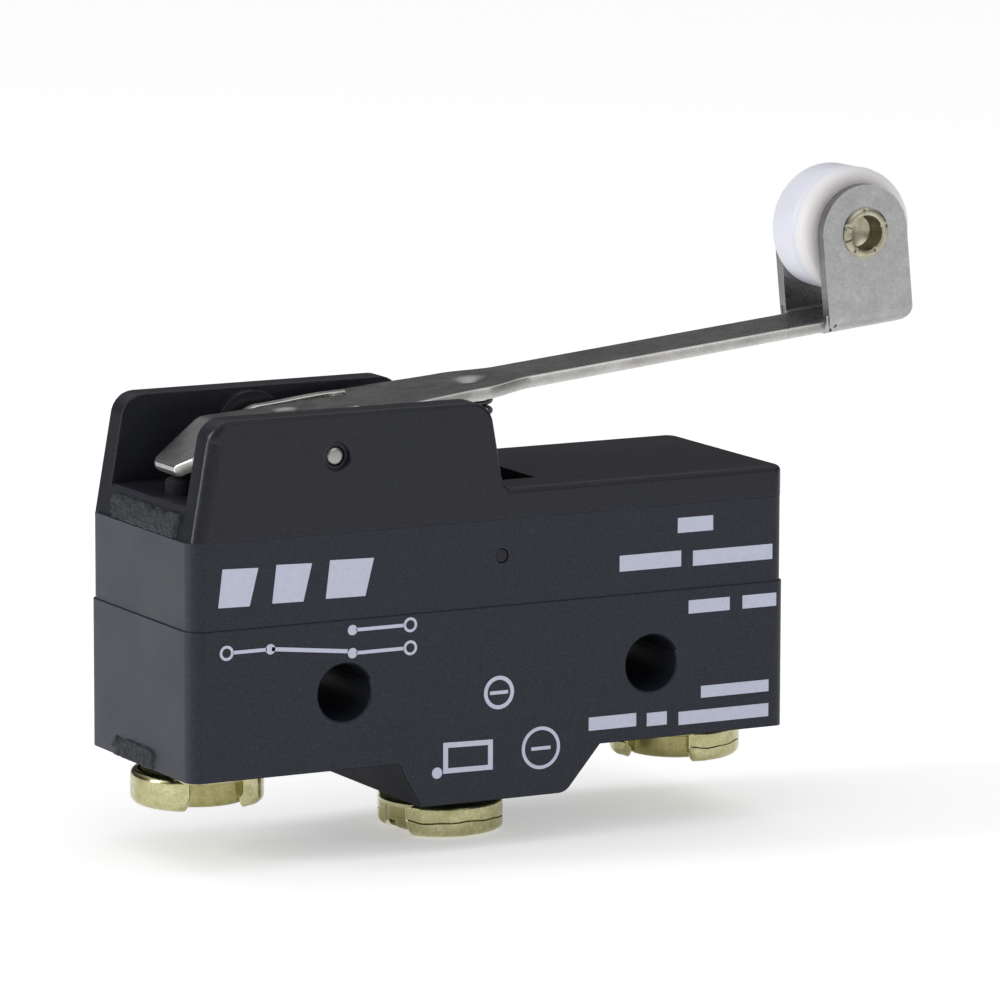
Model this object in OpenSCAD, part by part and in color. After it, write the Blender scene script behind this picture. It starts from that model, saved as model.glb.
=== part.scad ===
// Basic snap-action limit switch with a reverse-acting hinged roller lever.
// Origin: midway between the two mounting holes, at half the housing's thickness.
// +X runs along the housing towards the roller, +Y across its thickness, +Z up.

/* [Housing] */
// Length of the base along X
body_len = 48.8; // [48:0.1:50]
// Thickness of the base, face to face
body_w = 17.45; // [17:0.05:18.5]
// Radius of the housing's upright corners
corner_r = 1.0; // [0.6:0.1:1.4]
// Height of the lower moulding
base_h = 11.04; // [10.9:0.02:11.1]
// Height of the middle moulding
case_h = 6.43; // [6.4:0.01:6.5]
// Thickness of the cover plate
cover_t = 2.26; // [2:0.02:2.6]
// Thickness of the moulded walls
wall = 1.6; // [1.4:0.1:1.8]
// Drop of the centre block below the base
block_drop = 3.4; // [3:0.1:3.8]

/* [Mounting holes] */
// Distance between the two mounting holes
hole_spacing = 25.4; // [25.2:0.1:25.6]
// Diameter of the mounting holes
hole_d = 4.3; // [4.1:0.05:4.5]
// Height of the holes above the underside of the base
hole_height = 5.67; // [5.5:0.01:5.8]

/* [Ears] */
// Thickness of each ear
ear_t = 2.3; // [2:0.1:2.6]
// Height of the ears above the cover plate
ear_h = 6.49; // [6.2:0.01:6.8]
// Radius of the ears' upper corners
ear_r = 1.9; // [1.5:0.1:2.2]

/* [Lever] */
// Thickness of the lever's sheet steel
sheet_t = 0.9; // [0.8:0.05:1]
// Upward slope of the lever's arm, in degrees
arm_slope = 5.56; // [5.2:0.02:5.8]
// Width of the slender part of the arm
arm_w = 5.8; // [5.6:0.1:5.9]
// Height of the roller's axis above the arm
yoke_rise = 6.4; // [6.2:0.1:6.8]
// Diameter of the hinge pin
pin_d = 1.5; // [1.3:0.1:1.6]

/* [Roller] */
// Diameter of the roller
roller_d = 9.5; // [9:0.1:9.8]
// Width of the roller
roller_w = 4.8; // [4.4:0.1:5]
// Diameter of the roller's rivet
axle_d = 3.0; // [2.8:0.1:3.2]

/* [Terminals] */
// Distance from the middle terminal to each outer one
terminal_pitch = 20; // [19.9:0.05:20.1]
// Diameter of the cup washers
cup_d = 9.8; // [9.4:0.1:10]
// Nominal diameter of the terminal screws
screw_d = 4; // [3.5:0.1:4]

/* [Spring] */
// Outer diameter of the return spring
spring_d = 4.1; // [3.8:0.1:4.4]
// Diameter of the spring's wire
wire_d = 0.34; // [0.3:0.02:0.4]
// Number of turns
spring_turns = 8.5; // [7.5:0.5:9]

/* [Hidden] */
$fn = 64;
eps = 0.01;

// Housing levels, all measured from the mounting holes' axis
body_shift = -0.45;
x_left = body_shift - body_len / 2;
x_right = body_shift + body_len / 2;
z_bottom = -hole_height;
z_case = z_bottom + base_h;
z_cover = z_case + case_h;
z_deck = z_cover + cover_t;
z_ear = z_deck + ear_h;
z_block = z_bottom - block_drop;
case_inset = 0.12;
cover_inset = 0.1;
hole_x = hole_spacing / 2;
boss_r = 3.2;
floor_t = 3.5;
z_floor = z_bottom + floor_t;
roof_t = 1.2;

// Cross pin seen as a small disc on the middle moulding
case_pin_r = 0.55;
case_pin_x = 0.2;
case_pin_z = 9.07;

// Hinge pin, its bosses on the ears, and its counterbores
pin_x = -13.2;
pin_z = 17.35;
pin_r = pin_d / 2;
pin_recess = 0.43;
pin_mouth_r = 1.02;
boss_ring_r = 2.95;
boss_ring_t = 0.8;
ear_face = body_w / 2 - cover_inset;
ear_inner = ear_face - ear_t;
running_gap = 0.05;

// Lever: four corners of its upper surface, tip, tail bend, knee and arm end
tip = [-22.8, 16.2];
tail_bend = [-19.1, 19.2];
knee = [-6, 20.1];
lug_r = 2.1;
lug_face = 4.8;
tail_half = 2.6;
yoke_half = 3.65;
yoke_gap = 5.66;
yoke_x = 40.51;
arm_len = yoke_x + yoke_half;
bend_r = 1.0;
roller_gap = 0.06;
rivet_flange_r = 1.92;
rivet_flange_t = 0.25;

// Return spring under the lever and the pocket around its foot
spring_x = 1.9;
pocket_l = 5.8;
pocket_w = 10.4;
spring_top = knee[1] + (spring_x - knee[0]) * tan(arm_slope) - sheet_t / cos(arm_slope);

// Plunger under the tip of the lever's tail
plunger_x = -21.5;
plunger_r = 1.3;
plunger_top = 15.43;
foot_x = -9.5;
foot_z = 8.3;
foot_t = 0.8;
nose_z = 7.05;

// Contact stack: shelf, blade and contact faces
strip_w = 5;
strip_t = 0.8;
riser_gap = 2.6;
blade_z = 6.7;
blade_t = 0.25;
blade_end = 15.6;
contact_x = 14;
contact_r = 1.5;
contact_shank_r = 0.8;
clamp_x = -19.2;
clamp_l = 3.0;
clamp_gap = 0.05;
clamp_t = 0.6;
clamp_rivet_r = 0.7;
clamp_head_r = 1.0;
lower_arm_z = 4.4;
upper_arm_z = 9.1;
lower_arm_end = 15.8;
upper_arm_end = 12.2;
slot_gap = 0.05;

// Terminal hardware; the foot plate under the centre block is the thicker one
common_x = body_shift - terminal_pitch;
middle_x = body_shift;
end_x = body_shift + terminal_pitch;
outer_foot_t = 0.6;
middle_foot_t = 1.0;
foot_plate_l = 6.8;
cup_floor_t = 0.5;
cup_h = 2.53;
rim_t = 0.75;
head_gap = 0.1;
head_r = cup_d / 2 - rim_t - head_gap;
head_t = cup_h - cup_floor_t - 0.15;
shank_len = 3.4;
shank_bore_gap = 0.15;
seat_gap = 0.02;
// Half the angle of each gap between a cup washer's arms, and the direction one gap faces
gap_half = 28;
common_gap_at = -95;
middle_gap_at = 180;
end_gap_at = -135;

// Colours
plastic = [0.16, 0.165, 0.18];
steel = [0.62, 0.62, 0.62];
brass = [0.76, 0.7, 0.42];
spring_steel = [0.5, 0.5, 0.52];
copper = [0.75, 0.5, 0.32];
white_plastic = [0.93, 0.93, 0.95];
silver_alloy = [0.82, 0.82, 0.8];

function unit(v) = v / norm(v);
function left_of(v) = [-v[1], v[0]];
// Corner of a strip's lower side, a thickness t below the corner b between a and c
function mitre(a, b, c, t) =
    let (n1 = left_of(unit(b - a)), n2 = left_of(unit(c - b)))
    b - t * (n1 + n2) / (1 + n1 * n2);
function arc(centre, r, from, to, steps) =
    [for (i = [0:steps]) centre + r * [cos(from + (to - from) * i / steps), sin(from + (to - from) * i / steps)]];

// Extrudes an outline drawn in X and Z, across Y and centred on it
module across(w) {
    rotate([90, 0, 0]) linear_extrude(w, center = true) children();
}

// Cylinder along Y, centred
module rod_y(r, w) {
    rotate([90, 0, 0]) cylinder(r = r, h = w, center = true);
}

// Block from low corner to high corner
module block(low, high) {
    translate(low) cube(high - low);
}

module round_rect(x0, x1, w, r) {
    translate([x0 + r, -w / 2]) square([x1 - x0 - 2 * r, w]);
    translate([x0, -w / 2 + r]) square([x1 - x0, w - 2 * r]);
    for (x = [x0 + r, x1 - r], y = [-1, 1]) translate([x, y * (w / 2 - r)]) circle(r);
}

module slab(inset, z, h) {
    translate([0, 0, z]) linear_extrude(h)
        round_rect(x_left + inset, x_right - inset, body_w - 2 * inset, corner_r);
}

module at_holes() {
    for (x = [-hole_x, hole_x]) translate([x, 0, 0]) children();
}

// Hollow of the lower moulding, leaving the bosses around the mounting holes
module base_hollow() {
    difference() {
        block([x_left + wall, -body_w / 2 + wall, z_floor], [x_right - wall, body_w / 2 - wall, z_case + eps]);
        at_holes() {
            rod_y(boss_r, body_w);
            block([-boss_r, -body_w / 2, z_floor - eps], [boss_r, body_w / 2, 0]);
        }
    }
}

module centre_block() {
    across(body_w) polygon(concat(
        [[-8.3, z_bottom + eps], [-8.3, z_bottom], [-6.45, z_block]],
        arc([4.9, z_block + 1.3], 1.3, -90, -35, 6),
        [[8.4, z_bottom], [8.4, z_bottom + eps]]
    ));
}

// Slot and blind hole for one terminal; side is 1 or -1 for the riser's side of the screw
module terminal_space(x, z, side) {
    x0 = riser_x(x, side);
    translate([x, 0, z - eps]) cylinder(r = screw_d / 2 + shank_bore_gap, h = shank_len - outer_foot_t);
    block([x0 - slot_gap, -strip_w / 2 - slot_gap, z - eps],
          [x0 + strip_t + slot_gap, strip_w / 2 + slot_gap, z_floor + eps]);
}

function riser_x(x, side) = side > 0 ? x + riser_gap : x - riser_gap - strip_t;

module base() {
    color(plastic) difference() {
        union() {
            slab(0, z_bottom, base_h);
            centre_block();
        }
        base_hollow();
        at_holes() rod_y(hole_d / 2, body_w + 1);
        terminal_space(common_x, z_bottom, 1);
        terminal_space(middle_x, z_block, 1);
        terminal_space(end_x, z_bottom, -1);
    }
}

module middle_case() {
    color(plastic) difference() {
        slab(case_inset, z_case, case_h);
        block([x_left + wall, -body_w / 2 + wall, z_case - eps],
              [x_right - wall, body_w / 2 - wall, z_cover - roof_t]);
        translate([plunger_x, 0, z_case]) cylinder(r = plunger_r + running_gap, h = case_h + eps);
        case_pin_place() rod_y(case_pin_r + seat_gap, body_w + 1);
    }
}

module case_pin_place() {
    translate([case_pin_x, 0, case_pin_z]) children();
}

module case_pin() {
    color(plastic) case_pin_place() rod_y(case_pin_r, body_w - 2 * case_inset);
}

// Outline of one ear, leaning in towards its top at both ends
module ear_outline() {
    polygon(concat(
        [[-24.7, z_cover], [-24.3, z_deck]],
        arc([-21.55, z_ear - ear_r], ear_r, 172, 90, 8),
        arc([-2.35, z_ear - ear_r], ear_r, 90, 8, 8),
        [[0.3, z_deck + 0.5], [1.0, z_deck], [1.0, z_cover]]
    ));
}

module cover() {
    color(plastic) difference() {
        union() {
            slab(cover_inset, z_cover, cover_t);
            for (side = [-1, 1]) {
                translate([0, side * (ear_face - ear_t / 2), 0]) across(ear_t) ear_outline();
                translate([pin_x, side * (ear_inner - boss_ring_t / 2), pin_z])
                    rod_y(boss_ring_r, boss_ring_t + 2 * eps);
            }
        }
        translate([pin_x, 0, pin_z]) rod_y(pin_r + seat_gap, body_w + 1);
        for (side = [-1, 1]) translate([pin_x, side * ear_face, pin_z]) rod_y(pin_mouth_r, 2 * pin_recess);
        block([spring_x - pocket_l / 2, -pocket_w / 2, z_cover - eps],
              [spring_x + pocket_l / 2, pocket_w / 2, z_deck + eps]);
        translate([plunger_x, 0, z_cover - eps]) cylinder(r = plunger_r + running_gap, h = cover_t + 2 * eps);
    }
}

module hinge_pin() {
    color(steel) translate([pin_x, 0, pin_z]) rod_y(pin_r, 2 * (ear_face - pin_recess));
}

// The whole sheet seen from the side: tail, web and arm as one bent strip
module sheet_side() {
    arm_end = knee + arm_len * [cos(arm_slope), sin(arm_slope)];
    tail_down = -sheet_t * left_of(unit(tail_bend - tip));
    arm_down = sheet_t * [sin(arm_slope), -cos(arm_slope)];
    polygon([
        tip, tail_bend, knee, arm_end,
        arm_end + arm_down,
        mitre(tail_bend, knee, arm_end, sheet_t),
        mitre(tip, tail_bend, knee, sheet_t),
        tip + tail_down
    ]);
}

// Half widths of the sheet seen from above, as [x, half width]
sheet_halves = [
    [-24, 1.6], [-22.2, tail_half], [-10.4, tail_half], [-8.6, lug_face], [-6, 4.7],
    [4, 3.9], [5.5, arm_w / 2], [29.8, arm_w / 2], [29.8, yoke_gap / 2], [40, yoke_gap / 2]
];

module sheet_plan() {
    polygon(concat(
        [for (p = sheet_halves) p],
        [for (i = [len(sheet_halves) - 1:-1:0]) [sheet_halves[i][0], -sheet_halves[i][1]]]
    ));
}

// Side plate that carries the hinge pin
module lug_side() {
    pin = [pin_x, pin_z];
    translate(pin) circle(lug_r);
    polygon([
        pin + [0, lug_r], [-8.2, 19.7], [-7.4, 19.95], [-4, 20.25],
        [-4, 19.3], [-7, 16.2], pin + [0, -lug_r]
    ]);
}

module arm_frame() {
    translate([knee[0], 0, knee[1]]) rotate([0, -arm_slope, 0]) children();
}

module yoke_section() {
    half = yoke_gap / 2 + sheet_t;
    top = yoke_rise + yoke_half;
    difference() {
        union() {
            translate([-half, -sheet_t + bend_r]) square([2 * half, top + sheet_t - bend_r]);
            translate([-half + bend_r, -sheet_t]) square([2 * (half - bend_r), bend_r + eps]);
            for (side = [-1, 1]) translate([side * (half - bend_r), -sheet_t + bend_r]) circle(bend_r);
        }
        translate([-yoke_gap / 2, 0]) square([yoke_gap, top + 1]);
    }
}

module yoke_side() {
    toe_r = 1.2;
    translate([yoke_x, yoke_rise]) circle(yoke_half);
    translate([yoke_x - yoke_half, -sheet_t]) square([2 * yoke_half - toe_r, yoke_rise + sheet_t]);
    translate([yoke_x, -sheet_t + toe_r]) square([yoke_half, yoke_rise + sheet_t - toe_r]);
    translate([yoke_x + yoke_half - toe_r, -sheet_t + toe_r]) circle(toe_r);
}

module yoke() {
    arm_frame() intersection() {
        translate([yoke_x - yoke_half - eps, 0, 0]) rotate([90, 0, 90])
            linear_extrude(2 * yoke_half + 1) yoke_section();
        across(2 * yoke_gap) yoke_side();
    }
}

module lever() {
    color(steel) difference() {
        union() {
            intersection() {
                across(2 * lug_face) sheet_side();
                translate([0, 0, tip[1] - 5]) linear_extrude(20) sheet_plan();
            }
            for (side = [-1, 1]) translate([0, side * (lug_face - sheet_t / 2), 0]) across(sheet_t) lug_side();
            yoke();
        }
        translate([pin_x, 0, pin_z]) rod_y(pin_r + running_gap, 2 * body_w);
        translate([pin_x, 0, pin_z + 1]) cylinder(r = 0.7, h = 3);
        arm_frame() translate([yoke_x, 0, yoke_rise]) rod_y(axle_d / 2, 2 * yoke_gap);
    }
}

module roller() {
    edge_r = 0.5;
    bore_r = axle_d / 2 + roller_gap;
    color(white_plastic) arm_frame() translate([yoke_x, 0, yoke_rise]) rotate([90, 0, 0])
        rotate_extrude($fn = 96) {
            translate([bore_r, -roller_w / 2]) square([roller_d / 2 - edge_r - bore_r, roller_w]);
            translate([bore_r, -roller_w / 2 + edge_r]) square([roller_d / 2 - bore_r, roller_w - 2 * edge_r]);
            for (side = [-1, 1])
                translate([roller_d / 2 - edge_r, side * (roller_w / 2 - edge_r)]) circle(edge_r);
        }
}

module roller_axle() {
    half = yoke_gap / 2 + sheet_t;
    cup_r = 1.3;
    cup_depth = 1.6;
    point_depth = 0.5;
    color(steel) arm_frame() translate([yoke_x, 0, yoke_rise]) rotate([90, 0, 0]) difference() {
        union() {
            cylinder(r = axle_d / 2, h = 2 * half, center = true);
            for (side = [-1, 1]) translate([0, 0, side * (half + rivet_flange_t / 2)])
                cylinder(r = rivet_flange_r, h = rivet_flange_t, center = true);
        }
        for (side = [0, 180]) rotate([side, 0, 0]) translate([0, 0, half + rivet_flange_t - cup_depth]) {
            cylinder(r = cup_r, h = cup_depth + eps);
            translate([0, 0, -point_depth]) cylinder(r1 = 0, r2 = cup_r, h = point_depth + eps);
        }
    }
}

// Ring of a round wire's section, standing on a helix at turn t
function wire_ring(t, r, rise, sides) =
    [for (k = [0:sides - 1])
        let (a = 360 * t, b = 360 * k / sides, q = r + wire_d / 2 * cos(b))
        [q * cos(a), q * sin(a), rise * t + wire_d / 2 * sin(b)]];

module return_spring() {
    steps = 16;
    sides = 6;
    count = round(spring_turns * steps);
    r = (spring_d - wire_d) / 2;
    lift = 0.12;
    lean = spring_d / 2 * tan(arm_slope);
    rise = (spring_top - z_cover - wire_d - 2 * lift - lean) / spring_turns;
    points = [for (i = [0:count]) each wire_ring(i / steps, r, rise, sides)];
    walls = [for (i = [0:count - 1], k = [0:sides - 1])
        [i * sides + k, i * sides + (k + 1) % sides, (i + 1) * sides + (k + 1) % sides, (i + 1) * sides + k]];
    first = [for (k = [sides - 1:-1:0]) k];
    last = [for (k = [0:sides - 1]) count * sides + k];
    color(spring_steel) translate([spring_x, 0, z_cover + wire_d / 2 + lift])
        polyhedron(points, concat([first], walls, [last]), convexity = 12);
}

// Push stem with an inner foot that reaches over the blade's clamp to its nose
module plunger() {
    color(plastic) {
        translate([plunger_x, 0, foot_z]) cylinder(r = plunger_r, h = plunger_top - foot_z - 0.2);
        translate([plunger_x, 0, plunger_top - 0.2 - eps]) cylinder(r1 = plunger_r, r2 = plunger_r - 0.25, h = 0.2);
        block([plunger_x, -plunger_r, foot_z], [foot_x, plunger_r, foot_z + foot_t]);
        translate([foot_x - plunger_r, 0, nose_z]) cylinder(r = plunger_r - 0.3, h = foot_z - nose_z + eps);
    }
}

// Riser strip of a terminal, up to a height, with its foot plate of thickness t under the housing
module terminal_strip(x, z, t, side, top) {
    x0 = riser_x(x, side);
    half = foot_plate_l / 2;
    difference() {
        block([x - half, -half, z - t], [x + half, half, z]);
        translate([x, 0, z - t - eps]) cylinder(r = screw_d / 2 + seat_gap, h = t + 2 * eps);
    }
    block([x0, -strip_w / 2, z - eps], [x0 + strip_t, strip_w / 2, top]);
}

module terminal_common() {
    shelf_top = blade_z - clamp_gap;
    shelf_end = riser_x(common_x, 1) + strip_t;
    color(brass) difference() {
        union() {
            terminal_strip(common_x, z_bottom, outer_foot_t, 1, shelf_top);
            block([clamp_x - clamp_l / 2, -strip_w / 2, shelf_top - strip_t], [shelf_end, strip_w / 2, shelf_top]);
        }
        translate([clamp_x, 0, shelf_top - 2]) cylinder(r = clamp_rivet_r + seat_gap, h = 3);
    }
}

module terminal_middle() {
    color(brass) {
        terminal_strip(middle_x, z_block, middle_foot_t, 1, lower_arm_z + strip_t);
        block([riser_x(middle_x, 1), -strip_w / 2, lower_arm_z],
              [lower_arm_end, strip_w / 2, lower_arm_z + strip_t]);
    }
}

module terminal_end() {
    x0 = riser_x(end_x, -1);
    color(brass) {
        terminal_strip(end_x, z_bottom, outer_foot_t, -1, upper_arm_z + strip_t);
        block([upper_arm_end, -strip_w / 2, upper_arm_z], [x0 + strip_t, strip_w / 2, upper_arm_z + strip_t]);
    }
}

module snap_blade() {
    color(copper) difference() {
        block([clamp_x - clamp_l / 2, -strip_w / 2, blade_z], [blade_end, strip_w / 2, blade_z + blade_t]);
        translate([clamp_x, 0, blade_z - 1]) cylinder(r = clamp_rivet_r + 0.3, h = 2);
        translate([contact_x, 0, blade_z - 1]) cylinder(r = contact_shank_r, h = 2);
        // Window that leaves two side rails and a centre tongue, as a snap blade has
        for (side = [-1, 1]) translate([0, side * 1.05, 0])
            block([-5, -0.35, blade_z - 1], [10, 0.35, blade_z + 1]);
    }
}

module blade_clamp() {
    z0 = blade_z + blade_t + clamp_gap;
    color(steel) difference() {
        block([clamp_x - clamp_l / 2, -strip_w / 2, z0], [clamp_x + clamp_l / 2, strip_w / 2, z0 + clamp_t]);
        translate([clamp_x, 0, z0 - 1]) cylinder(r = clamp_rivet_r + seat_gap, h = 3);
    }
}

module clamp_rivet() {
    low = blade_z - clamp_gap - strip_t;
    high = blade_z + blade_t + clamp_gap + clamp_t;
    head_h = 0.4;
    color(brass) {
        translate([clamp_x, 0, low - head_h]) cylinder(r = clamp_rivet_r, h = high - low + 2 * head_h);
        translate([clamp_x, 0, high]) cylinder(r = clamp_head_r, h = head_h);
        translate([clamp_x, 0, low - head_h]) cylinder(r = clamp_head_r, h = head_h);
    }
}

module moving_contact() {
    low_t = 0.68;
    high_t = 0.65;
    color(silver_alloy) {
        translate([contact_x, 0, blade_z - low_t]) cylinder(r = contact_r, h = low_t);
        translate([contact_x, 0, blade_z - eps]) cylinder(r = contact_shank_r, h = blade_t + 2 * eps);
        translate([contact_x, 0, blade_z + blade_t]) cylinder(r = contact_r, h = high_t);
    }
}

module contact_upper() {
    color(silver_alloy) translate([contact_x, 0, upper_arm_z - 0.8]) cylinder(r = contact_r, h = 0.8);
}

module contact_lower() {
    color(silver_alloy) translate([contact_x, 0, lower_arm_z + strip_t]) cylinder(r = contact_r, h = 0.8);
}

// Wedge that opens the two gaps between a cup washer's arms, one each way along X
module gap_wedges(r, half_angle) {
    y = r * tan(half_angle);
    polygon([[0, 0], [r, -y], [r, y]]);
    polygon([[0, 0], [-r, y], [-r, -y]]);
}

// Cup washer: round floor against the foot plate, and two arms turned down around the screw head
module cup_washer(x, z, gap_at) {
    arm_h = cup_h - cup_floor_t;
    color(brass) translate([x, 0, z - cup_h]) rotate(gap_at) difference() {
        cylinder(d = cup_d, h = cup_h);
        translate([0, 0, -eps]) cylinder(r = screw_d / 2 + seat_gap, h = cup_h + 2 * eps);
        translate([0, 0, -eps]) cylinder(r = cup_d / 2 - rim_t, h = arm_h + eps);
        translate([0, 0, -eps]) linear_extrude(arm_h + eps) gap_wedges(cup_d, gap_half);
    }
}

// Slotted screw hanging from the foot plate's underside at z
module terminal_screw(x, z) {
    slot_w = 0.9;
    slot_h = 0.7;
    color(brass) translate([x, 0, z - cup_floor_t - head_t]) difference() {
        union() {
            cylinder(r = head_r, h = head_t);
            cylinder(r = screw_d / 2, h = head_t + cup_floor_t + shank_len - 2 * shank_bore_gap);
        }
        translate([-head_r - 1, -slot_w / 2, -eps]) cube([2 * head_r + 2, slot_w, slot_h]);
    }
}

module cup_washer_common() { cup_washer(common_x, z_bottom - outer_foot_t, common_gap_at); }
module cup_washer_middle() { cup_washer(middle_x, z_block - middle_foot_t, middle_gap_at); }
module cup_washer_end() { cup_washer(end_x, z_bottom - outer_foot_t, end_gap_at); }
module screw_common() { terminal_screw(common_x, z_bottom - outer_foot_t); }
module screw_middle() { terminal_screw(middle_x, z_block - middle_foot_t); }
module screw_end() { terminal_screw(end_x, z_bottom - outer_foot_t); }

base();
middle_case();
cover();
case_pin();
hinge_pin();
lever();
roller();
roller_axle();
return_spring();
plunger();
snap_blade();
moving_contact();
contact_upper();
contact_lower();
terminal_common();
terminal_middle();
terminal_end();
blade_clamp();
clamp_rivet();
cup_washer_common();
cup_washer_middle();
cup_washer_end();
screw_common();
screw_middle();
screw_end();
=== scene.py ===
"""Snap-action limit switch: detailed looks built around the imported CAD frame.

All shapes are written in millimetres in the row frame and scaled to metres when a piece is finished.
"""

from math import atan2, copysign, cos, degrees, exp, hypot, pi, radians, sin, sqrt, tan

import bmesh
import bpy
from mathutils import Matrix, Vector, noise


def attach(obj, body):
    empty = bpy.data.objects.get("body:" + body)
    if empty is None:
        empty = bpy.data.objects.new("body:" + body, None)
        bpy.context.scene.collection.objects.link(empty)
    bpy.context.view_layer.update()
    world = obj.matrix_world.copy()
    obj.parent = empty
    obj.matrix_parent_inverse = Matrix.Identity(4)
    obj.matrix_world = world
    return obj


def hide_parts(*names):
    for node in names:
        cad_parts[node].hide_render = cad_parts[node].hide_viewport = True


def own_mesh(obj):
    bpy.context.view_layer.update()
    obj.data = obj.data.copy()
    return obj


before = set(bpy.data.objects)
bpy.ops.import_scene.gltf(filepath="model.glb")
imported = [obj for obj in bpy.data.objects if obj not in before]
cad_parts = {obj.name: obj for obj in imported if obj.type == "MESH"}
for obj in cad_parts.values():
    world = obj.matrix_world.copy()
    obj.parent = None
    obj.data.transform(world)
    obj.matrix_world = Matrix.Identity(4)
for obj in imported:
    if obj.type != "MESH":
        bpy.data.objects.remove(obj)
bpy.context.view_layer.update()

MM = 0.001
scene = bpy.context.scene

# ---------------- measures, in millimetres
# Housing: ends, half thickness, and levels from the underside up to the ears
X_LEFT, X_RIGHT = -25.05, 24.15
HALF_W = 8.725
Z_BOTTOM, Z_CASE, Z_COVER, Z_DECK, Z_EAR = -5.67, 5.37, 11.80, 14.06, 20.55
Z_BLOCK = -9.07
CASE_INSET, COVER_INSET = 0.12, 0.10
CORNER_R, CORNER_FRONT_R = 1.0, 1.2
WALL, INNER_FLOOR, CASE_ROOF = 1.6, 3.5, 1.2
HOLE_X, HOLE_R, HOLE_BOSS_R = 12.7, 2.15, 3.2
SIDE_PIN_X, SIDE_PIN_Z, SIDE_PIN_R = 0.2, 9.07, 0.55
# Hinge pin as (x, z), and the ears that carry it
PIN = Vector((-13.2, 17.35))
PIN_R, PIN_RECESS = 0.75, 0.43
PIN_MOUTH_R, PIN_BOSS_R, PIN_BOSS_T = 1.02, 2.95, 0.8
EAR_FACE = HALF_W - COVER_INSET
EAR_T, EAR_CROWN_R = 2.3, 1.9
# Lever: knee between tail and arm as (x, z), then the yoke measured along and above the arm
KNEE = Vector((-6.0, 20.1))
SLOPE = radians(5.56)
SHEET_T = 0.9
LUG_INNER, LUG_OUTER = 3.9, 4.8
YOKE_X, YOKE_RISE, YOKE_HALF, YOKE_GAP = 40.51, 6.4, 3.65, 5.66
# Spring locator and pocket, coil, plunger and terminals
SPRING_X, COIL_X = 1.9, 1.7
PLUNGER_X, PLUNGER_BORE_R = -21.5, 1.35
TERMINALS_X = (-20.45, -0.45, 19.55)
OUTER_FOOT_T, MIDDLE_FOOT_T, WASHER_FLOOR_T = 0.6, 1.0, 0.5
# Reach past a surface that makes a clean cut or join, and a cut right across the thickness
OVER = 1
THROUGH = ("Y", -HALF_W - OVER, HALF_W + OVER)


# ---------------- mesh helpers
# Stand-in materials that carry the face / rim split through booleans
SPLIT = [bpy.data.materials.new("split_" + part) for part in ("face", "rim", "edge")]


def work(bm):
    """A working object, still in millimetres, from a bmesh."""
    bmesh.ops.recalc_face_normals(bm, faces=bm.faces)
    mesh = bpy.data.meshes.new("work")
    bm.to_mesh(mesh)
    bm.free()
    for material in SPLIT:
        mesh.materials.append(material)
    obj = bpy.data.objects.new("work", mesh)
    scene.collection.objects.link(obj)
    return obj


def bake(obj):
    """Applies the object's modifiers to its mesh."""
    bpy.context.view_layer.update()
    evaluated = obj.evaluated_get(bpy.context.evaluated_depsgraph_get())
    mesh = bpy.data.meshes.new_from_object(evaluated)
    obj.modifiers.clear()
    obj.data = mesh


def combine(obj, tool, operation):
    step = obj.modifiers.new("combine", "BOOLEAN")
    step.operation = operation
    step.solver = "EXACT"
    step.material_mode = "TRANSFER"
    step.object = tool
    bake(obj)
    bpy.data.objects.remove(tool)


def join(obj, tool):
    combine(obj, tool, "UNION")


def cut(obj, tool):
    combine(obj, tool, "DIFFERENCE")


def keep(obj, tool):
    combine(obj, tool, "INTERSECT")


def inset(loop, distances):
    """Moves each corner of a closed anticlockwise loop inwards by its own distance."""
    moved = []
    for i, (point, distance) in enumerate(zip(loop, distances)):
        before = (point - loop[i - 1]).normalized()
        after = (loop[(i + 1) % len(loop)] - point).normalized()
        n1, n2 = Vector((-before.y, before.x)), Vector((-after.y, after.x))
        moved.append(point + (n1 + n2) * (distance / max(0.3, 1 + n1.dot(n2))))
    return moved


def placed(axis, point, height):
    if axis == "X":
        return (height, point[0], point[1])
    if axis == "Y":
        return (point[0], height, point[1])
    return (point[0], point[1], height)


def plate_bm(loop, axis, low, high, low_r=0.0, high_r=0.0, steps=4):
    """Closed solid between two parallel faces with rounded rims; radii are one number or one per corner."""
    loop = [Vector(p) for p in loop]
    count = len(loop)
    low_r = [low_r] * count if isinstance(low_r, (int, float)) else low_r
    high_r = [high_r] * count if isinstance(high_r, (int, float)) else high_r
    # A clockwise loop is turned round, and its radii with it
    if sum(a.x * b.y - b.x * a.y for a, b in zip(loop, loop[1:] + loop[:1])) < 0:
        loop, low_r, high_r = loop[::-1], low_r[::-1], high_r[::-1]
    levels = []
    for radii, base, way in ((low_r, low, 1), (high_r, high, -1)):
        group = []
        rounds = steps if max(radii) > 0 else 0
        for k in range(rounds + 1):
            turn = pi / 2 * (k / rounds if rounds else 1)
            corners = inset(loop, [r * (1 - sin(turn)) for r in radii])
            rises = [way * r * (1 - cos(turn)) for r in radii]
            group.append([placed(axis, p, base + rise) for p, rise in zip(corners, rises)])
        levels += group if way > 0 else group[::-1]
    bm = bmesh.new()
    rings = [[bm.verts.new(p) for p in level] for level in levels]
    for near, far in zip(rings, rings[1:]):
        for i in range(count):
            j = (i + 1) % count
            bm.faces.new((near[i], near[j], far[j], far[i])).material_index = 1
    bm.faces.new(rings[0])
    bm.faces.new(rings[-1])
    return bm


def plate(*args, **kwargs):
    return work(plate_bm(*args, **kwargs))


def box(low, high):
    corners = [(low[0], low[1]), (high[0], low[1]), (high[0], high[1]), (low[0], high[1])]
    return plate(corners, "Z", low[2], high[2])


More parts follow.
